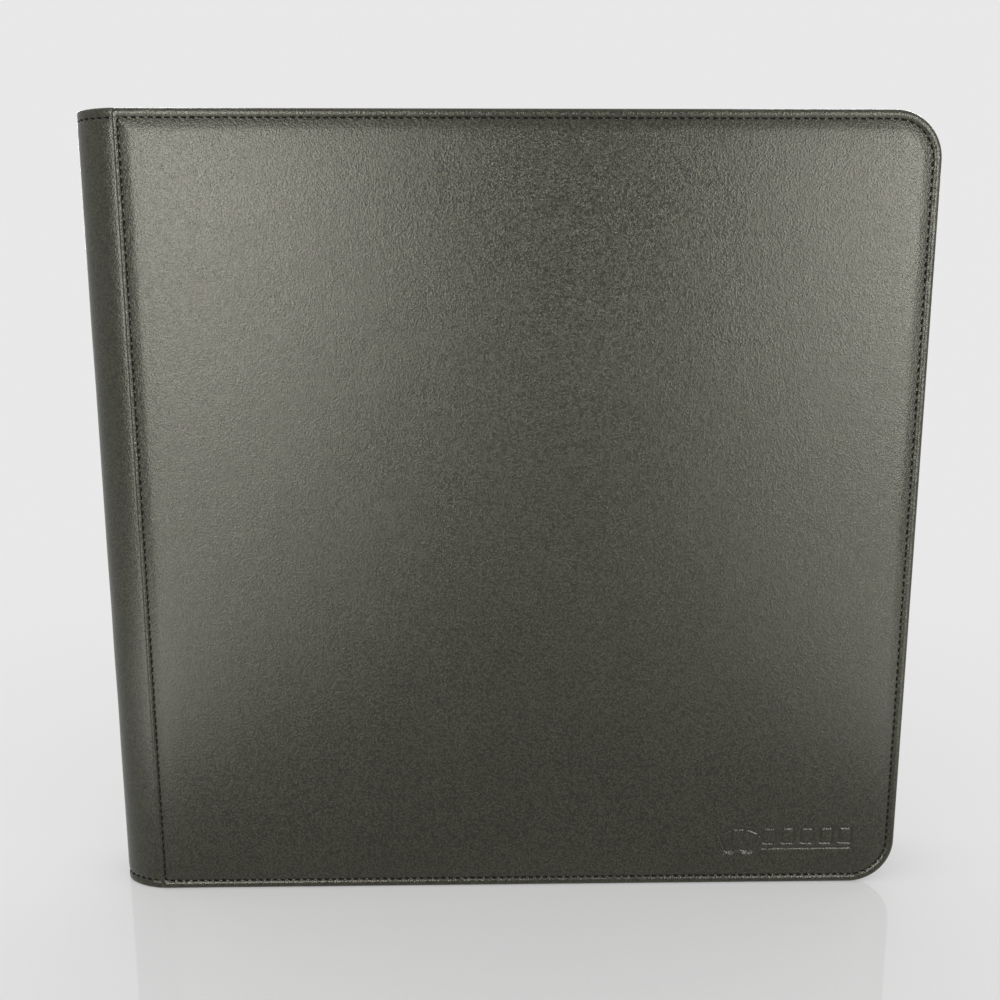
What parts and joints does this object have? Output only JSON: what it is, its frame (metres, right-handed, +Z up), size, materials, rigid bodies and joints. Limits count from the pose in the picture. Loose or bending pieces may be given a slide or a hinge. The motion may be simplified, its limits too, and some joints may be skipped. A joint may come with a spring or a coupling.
{
  "type": "trading card binder",
  "caption": "Zip-around trading card binder: padded leatherette covers hinged on a rounded spine, with turning leaves of side-loading card pockets and a sliding zipper.",
  "frame": {"origin": "middle of the underside of the closed, standing binder", "axes": "+X from the spine to the fore-edge, +Y from the front cover to the back cover, +Z up"},
  "size_m": [0.35, 0.044, 0.336],
  "materials": {
    "leatherette": "fine-grained matt synthetic leather, charcoal",
    "foam": "soft padding foam",
    "greyboard": "dense binder's board",
    "lining": "woven black lining",
    "leaf_film": "clear film over a black web",
    "binding": "moulded binding strip",
    "zipper_tape": "woven zipper tape",
    "zipper_nylon": "coiled nylon",
    "gunmetal": "dark plated die-cast metal"
  },
  "bodies": {
    "spine": {"spine_skin": "leatherette", "spine_board": "greyboard", "spine_lining": "lining", "page_binding_block": "binding", "front_hinge_strip": "leatherette", "back_hinge_strip": "leatherette", "upper_zipper_end_tab": "leatherette", "lower_zipper_end_tab": "leatherette"},
    "front_cover": {"front_cover_skin": "leatherette", "front_cover_foam": "foam", "front_cover_board": "greyboard", "front_cover_lining": "lining", "front_zipper_tape": "zipper_tape", "front_zipper_chain": "zipper_nylon", "front_upper_end_stop": "gunmetal", "front_lower_end_stop": "gunmetal"},
    "back_cover": {"back_cover_skin": "leatherette", "back_cover_foam": "foam", "back_cover_board": "greyboard", "back_cover_lining": "lining", "back_zipper_tape": "zipper_tape", "back_zipper_chain": "zipper_nylon", "back_upper_end_stop": "gunmetal", "back_lower_end_stop": "gunmetal"},
    "leaf_01": {"leaf_01": "leaf_film"},
    "leaf_02": {"leaf_02": "leaf_film"},
    "leaf_03": {"leaf_03": "leaf_film"},
    "leaf_04": {"leaf_04": "leaf_film"},
    "leaf_05": {"leaf_05": "leaf_film"},
    "leaf_06": {"leaf_06": "leaf_film"},
    "leaf_07": {"leaf_07": "leaf_film"},
    "leaf_08": {"leaf_08": "leaf_film"},
    "leaf_09": {"leaf_09": "leaf_film"},
    "leaf_10": {"leaf_10": "leaf_film"},
    "leaf_11": {"leaf_11": "leaf_film"},
    "leaf_12": {"leaf_12": "leaf_film"},
    "leaf_13": {"leaf_13": "leaf_film"},
    "leaf_14": {"leaf_14": "leaf_film"},
    "leaf_15": {"leaf_15": "leaf_film"},
    "leaf_16": {"leaf_16": "leaf_film"},
    "leaf_17": {"leaf_17": "leaf_film"},
    "leaf_18": {"leaf_18": "leaf_film"},
    "leaf_19": {"leaf_19": "leaf_film"},
    "leaf_20": {"leaf_20": "leaf_film"},
    "zipper_slider": {"zipper_slider_body": "gunmetal"},
    "zipper_pull": {"zipper_pull": "gunmetal"}
  },
  "joints": [
    {"name": "front_cover_hinge", "type": "hinge", "parent": "spine", "child": "front_cover", "pos_m": [-0.169, -0.0165, 0.168], "axis": [0, 0, -1], "range_deg": [0, 90], "deforming": ["front_hinge_strip"]},
    {"name": "back_cover_hinge", "type": "hinge", "parent": "spine", "child": "back_cover", "pos_m": [-0.169, 0.0165, 0.168], "axis": [0, 0, 1], "range_deg": [0, 90], "deforming": ["back_hinge_strip"]},
    {"name": "leaf_01_hinge", "type": "hinge", "parent": "spine", "child": "leaf_01", "pos_m": [-0.163, -0.0152, 0.168], "axis": [0, 0, -1], "range_deg": [0, 84.2]},
    {"name": "leaf_02_hinge", "type": "hinge", "parent": "spine", "child": "leaf_02", "pos_m": [-0.1625, -0.0136, 0.168], "axis": [0, 0, -1], "range_deg": [0, 75.65]},
    {"name": "leaf_03_hinge", "type": "hinge", "parent": "spine", "child": "leaf_03", "pos_m": [-0.162, -0.012, 0.168], "axis": [0, 0, -1], "range_deg": [0, 67.1]},
    {"name": "leaf_04_hinge", "type": "hinge", "parent": "spine", "child": "leaf_04", "pos_m": [-0.1615, -0.0104, 0.168], "axis": [0, 0, -1], "range_deg": [0, 58.55]},
    {"name": "leaf_05_hinge", "type": "hinge", "parent": "spine", "child": "leaf_05", "pos_m": [-0.161, -0.0088, 0.168], "axis": [0, 0, -1], "range_deg": [0, 50]},
    {"name": "leaf_06_hinge", "type": "hinge", "parent": "spine", "child": "leaf_06", "pos_m": [-0.1605, -0.0072, 0.168], "axis": [0, 0, -1], "range_deg": [0, 41.45]},
    {"name": "leaf_07_hinge", "type": "hinge", "parent": "spine", "child": "leaf_07", "pos_m": [-0.16, -0.0056, 0.168], "axis": [0, 0, -1], "range_deg": [0, 32.9]},
    {"name": "leaf_08_hinge", "type": "hinge", "parent": "spine", "child": "leaf_08", "pos_m": [-0.1595, -0.004, 0.168], "axis": [0, 0, -1], "range_deg": [0, 24.35]},
    {"name": "leaf_09_hinge", "type": "hinge", "parent": "spine", "child": "leaf_09", "pos_m": [-0.159, -0.0024, 0.168], "axis": [0, 0, -1], "range_deg": [0, 15.8]},
    {"name": "leaf_10_hinge", "type": "hinge", "parent": "spine", "child": "leaf_10", "pos_m": [-0.1585, -0.0008, 0.168], "axis": [0, 0, -1], "range_deg": [0, 7.25]},
    {"name": "leaf_11_hinge", "type": "hinge", "parent": "spine", "child": "leaf_11", "pos_m": [-0.1585, 0.0008, 0.168], "axis": [0, 0, 1], "range_deg": [0, 7.25]},
    {"name": "leaf_12_hinge", "type": "hinge", "parent": "spine", "child": "leaf_12", "pos_m": [-0.159, 0.0024, 0.168], "axis": [0, 0, 1], "range_deg": [0, 15.8]},
    {"name": "leaf_13_hinge", "type": "hinge", "parent": "spine", "child": "leaf_13", "pos_m": [-0.1595, 0.004, 0.168], "axis": [0, 0, 1], "range_deg": [0, 24.35]},
    {"name": "leaf_14_hinge", "type": "hinge", "parent": "spine", "child": "leaf_14", "pos_m": [-0.16, 0.0056, 0.168], "axis": [0, 0, 1], "range_deg": [0, 32.9]},
    {"name": "leaf_15_hinge", "type": "hinge", "parent": "spine", "child": "leaf_15", "pos_m": [-0.1605, 0.0072, 0.168], "axis": [0, 0, 1], "range_deg": [0, 41.45]},
    {"name": "leaf_16_hinge", "type": "hinge", "parent": "spine", "child": "leaf_16", "pos_m": [-0.161, 0.0088, 0.168], "axis": [0, 0, 1], "range_deg": [0, 50]},
    {"name": "leaf_17_hinge", "type": "hinge", "parent": "spine", "child": "leaf_17", "pos_m": [-0.1615, 0.0104, 0.168], "axis": [0, 0, 1], "range_deg": [0, 58.55]},
    {"name": "leaf_18_hinge", "type": "hinge", "parent": "spine", "child": "leaf_18", "pos_m": [-0.162, 0.012, 0.168], "axis": [0, 0, 1], "range_deg": [0, 67.1]},
    {"name": "leaf_19_hinge", "type": "hinge", "parent": "spine", "child": "leaf_19", "pos_m": [-0.1625, 0.0136, 0.168], "axis": [0, 0, 1], "range_deg": [0, 75.65]},
    {"name": "leaf_20_hinge", "type": "hinge", "parent": "spine", "child": "leaf_20", "pos_m": [-0.163, 0.0152, 0.168], "axis": [0, 0, 1], "range_deg": [0, 84.2]},
    {"name": "slider_travel", "type": "slide", "parent": "back_cover", "child": "zipper_slider", "axis": [1, 0, 0], "range_m": [0, 0.28]},
    {"name": "pull_swing", "type": "hinge", "parent": "zipper_slider", "child": "zipper_pull", "pos_m": [-0.131, 0, 0.3328], "axis": [0, -1, 0], "range_deg": [0, 170]}
  ],
  "couplings": [
    {"joint": "leaf_01_hinge", "follows": "front_cover_hinge", "ratio": 0.93},
    {"joint": "leaf_02_hinge", "follows": "front_cover_hinge", "ratio": 0.835},
    {"joint": "leaf_03_hinge", "follows": "front_cover_hinge", "ratio": 0.74},
    {"joint": "leaf_04_hinge", "follows": "front_cover_hinge", "ratio": 0.645},
    {"joint": "leaf_05_hinge", "follows": "front_cover_hinge", "ratio": 0.55},
    {"joint": "leaf_06_hinge", "follows": "front_cover_hinge", "ratio": 0.455},
    {"joint": "leaf_07_hinge", "follows": "front_cover_hinge", "ratio": 0.36},
    {"joint": "leaf_08_hinge", "follows": "front_cover_hinge", "ratio": 0.265},
    {"joint": "leaf_09_hinge", "follows": "front_cover_hinge", "ratio": 0.17},
    {"joint": "leaf_10_hinge", "follows": "front_cover_hinge", "ratio": 0.075},
    {"joint": "leaf_11_hinge", "follows": "back_cover_hinge", "ratio": 0.075},
    {"joint": "leaf_12_hinge", "follows": "back_cover_hinge", "ratio": 0.17},
    {"joint": "leaf_13_hinge", "follows": "back_cover_hinge", "ratio": 0.265},
    {"joint": "leaf_14_hinge", "follows": "back_cover_hinge", "ratio": 0.36},
    {"joint": "leaf_15_hinge", "follows": "back_cover_hinge", "ratio": 0.455},
    {"joint": "leaf_16_hinge", "follows": "back_cover_hinge", "ratio": 0.55},
    {"joint": "leaf_17_hinge", "follows": "back_cover_hinge", "ratio": 0.645},
    {"joint": "leaf_18_hinge", "follows": "back_cover_hinge", "ratio": 0.74},
    {"joint": "leaf_19_hinge", "follows": "back_cover_hinge", "ratio": 0.835},
    {"joint": "leaf_20_hinge", "follows": "back_cover_hinge", "ratio": 0.93}
  ]
}
